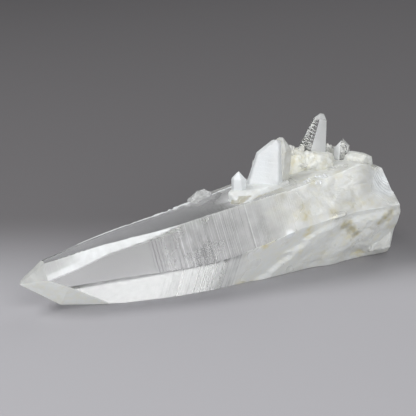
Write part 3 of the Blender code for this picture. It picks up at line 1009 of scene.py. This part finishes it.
def white_line(t, face):
    """How much of a whitened growth line lies at t on a face, from 0 to 1. Some are whiter than others."""
    beyond = bisect.bisect(STAIRS, t)
    k = min(range(max(beyond - 1, 0), min(beyond + 1, len(STAIRS))), key=lambda k: abs(STAIRS[k] - t))
    whiter = min(max(0.45 + 1.5 * noise.noise(Vector((k * 2.71, 0.3, 0.9))), 0.1), 1.0)
    return whiter * max(1 - abs(t - STAIRS[k]) / (RISER / 2), 0.0) * stair_strength(k, face, 0.5)


def upper_front_look(t, share, base, patch):
    """Milk and frost that the upper front face adds: its thin haze, its wisps, and its white band, which is a
    painted reflection.
    """
    inside = smooth((reflection_band_edge(t) - share) / 0.04 + 0.5)
    plain = (1 - smooth((t - 16) / 12)) * smooth((reflection_band_edge(t) - 0.16 - share) / 0.1)
    milk = (REFLECTION_BAND_MILK - 0.3 * plain) * inside * (0.55 + 0.45 * smooth((t - 4) / 14))
    haze = smooth((t - HAZE_FROM) / HAZE_SPAN) * (1 - base) * (1 + 0.8 * patch)
    wisp = noise.noise(Vector((t / 1.1, share * 5, 1.7)))
    wisp += 0.5 * noise.noise(Vector((t / 6.0, share * 3, 8.2)))
    lined = smooth((t - 50) / 6) * (1 - smooth((t - 80) / 8)) * (share < 0.62)
    milk += HAZE_MILK * haze + WISP_MILK * max(wisp - 0.3, 0.0) * lined
    return milk, REFLECTION_BAND_FROST * inside + HAZE_FROST * haze


def lower_front_look(t, base):
    """Milk and frost that the lower front face adds: a white veil, a painted reflection, with clearer streaks
    across it.
    """
    streak = smooth((t - 60) / 6) * max(noise.noise(Vector((t / 0.9, 0.4, 7.1))) + 0.2, 0.0)
    return (LOWER_SHEEN_MILK - STREAK * streak) * smooth((t - 14) / 16) * (1 - base), LOWER_SHEEN_FROST * (1 - base)


def rim_look(t, y, z):
    """The white that the chipped rear rim adds, as milk and as frost."""
    corner_y, corner_z = corners(t)[5]  # where the upper rear face meets the top face
    rim = math.hypot(y - corner_y, z - corner_z)
    width = 1.6 + 2.6 * smooth((t - 52) / 20) * (0.6 + noise.noise(Vector((t / 2.5, rim / 2.0, 6.6))))
    white = RIM_WHITE * (1 - smooth((rim - 0.3) / width)) * smooth((t - 10) / 30)
    return white, white


def long_point_look(spot, face):
    """Milk, frost and stain at a place on one of the long point's faces."""
    if isinstance(face, int):
        return CREAM_SHEEN_LOOK if face in CREAM_TIP_FACES else CLEAR_TIP_LOOK
    t, y, z = along_and_up(spot)
    local = Vector((t, y, z))
    start, span = BASE_FROM.get(face, BASE_ELSEWHERE)
    base = smooth((t + 7 * noise.noise(local / 8.0) - start) / span)
    patch = noise.noise(local / 11.0) + 0.5 * noise.noise(local / 4.5)
    vein = max(noise.noise(local / 7.0 + Vector((9.1, 2.2, 4.0))) - 0.15, 0.0)
    milk = CLEAR_MILK + BASE_MILK * base + PATCHY_MILK * base * patch
    frost = CLEAR_FROST + BASE_FROST * base + PATCHY_FROST * base * patch
    stain = BASE_STAIN * base + VEIN_STAIN * base * vein
    milk += LINE_MILK * white_line(t, face)
    # Painted light on the base: its two lower faces whiter, its others less.
    milk += (PAINTED_LIGHT_LOWER_BASE if face in ("front_lower", "bottom") else PAINTED_SHADE_OTHER_BASE) * base
    more_milk, more_frost = 0.0, 0.0
    if face == "front_upper":
        more_milk, more_frost = upper_front_look(t, share_from_ridge(t, y, z), base, patch)
    if face == "front_lower":
        more_milk, more_frost = lower_front_look(t, base)
    if face in ("top", "rear_upper"):
        more_milk, more_frost = rim_look(t, y, z)
    milk += more_milk
    frost += more_frost
    for *centre, radius, spot_milk, spot_frost, spot_stain in SPOTS_AND_GLINT:
        near = 1 - smooth((spot - place(*centre)).length / MM / radius - 0.5)
        milk += (spot_milk - milk) * near
        frost += (spot_frost - frost) * near
        stain += (spot_stain - stain) * near
    return min(max(milk, 0.0), 1.0), min(frost, 1.0), stain


middle = on_axis(80, 0, along(FACE_DISTANCE["top"], 80))
print("milk, frost and stain amid the top face:", [round(v, 2) for v in long_point_look(middle, "top")])

# %% [markdown]
# ## Writing the values
#
# The values go on every corner of every face and not on every point, so that a clear face and a milky one can
# meet at a sharp edge.

# %% Paint the mesh
def paint(mesh):
    """Writes milk, frost, stain and the distance along the crystal's axis on every corner of every face."""
    single = [(whose, level_way(degrees), look) for whose, degrees, look in FACE_LOOKS_AND_GLINTS]
    highlight_from = place(0, 0, TIP_HIGHLIGHT_FROM).z
    values = {name: [0.0] * len(mesh.loops) for name in ("milk", "frost", "stain", "axis_mm")}
    for face in mesh.polygons:
        _, _, found, distance = growth_tree.find_nearest(face.center)
        name = growth_names[found]
        look = growth_look(name)
        own = distance < TOUCH
        root, axis = axes.get(name, axes["long_point"]) if own else axes["long_point"]
        side = None if own else nearest_face(face.center)
        # A single face's look can be a painted highlight.
        for whose, way, special in single:
            if own and name == whose and face.normal.dot(way) > FACING:
                look = special
        # Painted highlight: the tall crystal's tip is white.
        if name == "tall_point" and face.center.z > highlight_from:
            look = TIP_HIGHLIGHT_LOOK
        near = BLEND_SHARE * math.exp(-distance / MM / BLEND)
        for loop in face.loop_indices:
            spot = mesh.vertices[mesh.loops[loop].vertex_index].co
            here = look
            if not own:
                milk, frost, stain = long_point_look(spot, side)
                here = (max(milk, milk + (look[0] - milk) * near), frost, stain)
            for key, value in zip(values, (*here, (spot - root).dot(axis) / MM)):
                values[key][loop] = value
    for key, found in values.items():
        mesh.attributes.new(key, "FLOAT", "CORNER").data.foreach_set("value", found)
    return {key: (round(min(found), 2), round(max(found), 2)) for key, found in values.items()}


print("lowest and highest values:", paint(skin))

# %% [markdown]
# ## Quartz
#
# Rock crystal bends light a little more than window glass, with an index of 1.544, and has no colour of its
# own. Where it is milky, less light goes straight through and more comes back white and soft. The finest
# growth lines, less than half a millimetre apart, and the pits of the frosted parts are a bump on the mesh.

# %% Make the quartz
QUARTZ_IOR = 1.544
CLEAR_TINT, MILKY_WHITE, IRON_STAIN = "#FFFFFF", "#E5E9EB", "#D9CC8C"
SMOOTHEST, ROUGHEST = 0.01, 0.55
CLOUDS_PER_M, SEEPS_PER_M, PITS_PER_M = 260.0, 420.0, 1500.0
LINES_PER_MM, LINE_DEPTH, PIT_DEPTH = 2.6, 0.000009, 0.00015  # the last two in m
DEPTH_TINT, DEPTH_DENSITY = "#E6EBE4", 6.0  # a faint grey-green that thick clear parts take on
MILK_GLOW, MILK_GLOW_REACH = 0.6, 0.003  # share of the white that is scattered below the surface, m


def rock_crystal():
    """Clear, smooth and colourless where milk and frost are 0; white, matte and soft where they are 1."""
    material, tree = new_material("rock_crystal")
    milk, frost, stain, axis_mm = (
        add(tree, "Attribute", {"attribute_name": key})
        for key in ("milk", "frost", "stain", "axis_mm"))
    spot = add(tree, "TexCoord")
    cloud = add(tree, "TexNoise", Vector=spot.outputs["Object"], Scale=CLOUDS_PER_M, Detail=4.0)
    blotch = add(tree, "MapRange", Value=cloud.outputs["Fac"], From_Min=0.3, From_Max=0.7,
                 To_Min=0.85, To_Max=1.12)
    milky = add(tree, "Math", {"operation": "MULTIPLY", "use_clamp": True},
                i0=milk.outputs["Fac"], i1=blotch.outputs[0])
    clear = add(tree, "MapRange", Value=milky.outputs[0], To_Min=1.0, To_Max=0.04)
    white = add(tree, "Mix", {"data_type": "RGBA"}, Factor=milky.outputs[0],
                i6=linear(CLEAR_TINT), i7=linear(MILKY_WHITE))
    spread = add(tree, "TexNoise", Vector=spot.outputs["Object"], Scale=SEEPS_PER_M, Detail=3.0)
    seep = add(tree, "MapRange", Value=spread.outputs["Fac"], From_Min=0.42, From_Max=0.68,
               To_Min=0.4)
    yellow = add(tree, "Math", {"operation": "MULTIPLY", "use_clamp": True},
                 i0=stain.outputs["Fac"], i1=seep.outputs[0])
    stained = add(tree, "Math", {"operation": "MULTIPLY", "use_clamp": True},
                  i0=yellow.outputs[0], i1=2.2)
    colour = add(tree, "Mix", {"data_type": "RGBA"}, Factor=stained.outputs[0],
                 i6=white.outputs[2], i7=linear(IRON_STAIN))
    rough = add(tree, "MapRange", Value=frost.outputs["Fac"], To_Min=SMOOTHEST, To_Max=ROUGHEST)
    lines = add(tree, "TexNoise", {"noise_dimensions": "1D"}, W=axis_mm.outputs["Fac"],
                Scale=LINES_PER_MM, Detail=3.0)
    pits = add(tree, "TexNoise", Vector=spot.outputs["Object"], Scale=PITS_PER_M, Detail=2.0)
    pitted = add(tree, "Math", {"operation": "MULTIPLY"}, i0=pits.outputs["Fac"],
                 i1=frost.outputs["Fac"])
    line_bump = add(tree, "Bump", Height=lines.outputs["Fac"], Distance=LINE_DEPTH, Strength=1.0)
    bump = add(tree, "Bump", Height=pitted.outputs[0], Distance=PIT_DEPTH, Strength=1.0,
               Normal=line_bump.outputs[0])
    shader = add(tree, "BsdfPrincipled", Base_Color=colour.outputs[2], Roughness=rough.outputs[0],
                 IOR=QUARTZ_IOR, Transmission_Weight=clear.outputs[0], Subsurface_Weight=MILK_GLOW,
                 Subsurface_Scale=MILK_GLOW_REACH, Normal=bump.outputs[0])
    shader.inputs["Subsurface Radius"].default_value = (1.0, 1.0, 1.0)
    depth = add(tree, "VolumeAbsorption", Color=linear(DEPTH_TINT), Density=DEPTH_DENSITY)
    add(tree, "OutputMaterial", Surface=shader.outputs[0], Volume=depth.outputs[0])
    return material


skin.materials.clear()
skin.materials.append(rock_crystal())
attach(cluster, "root")
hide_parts(NODE)
print("material:", skin.materials[0].name)
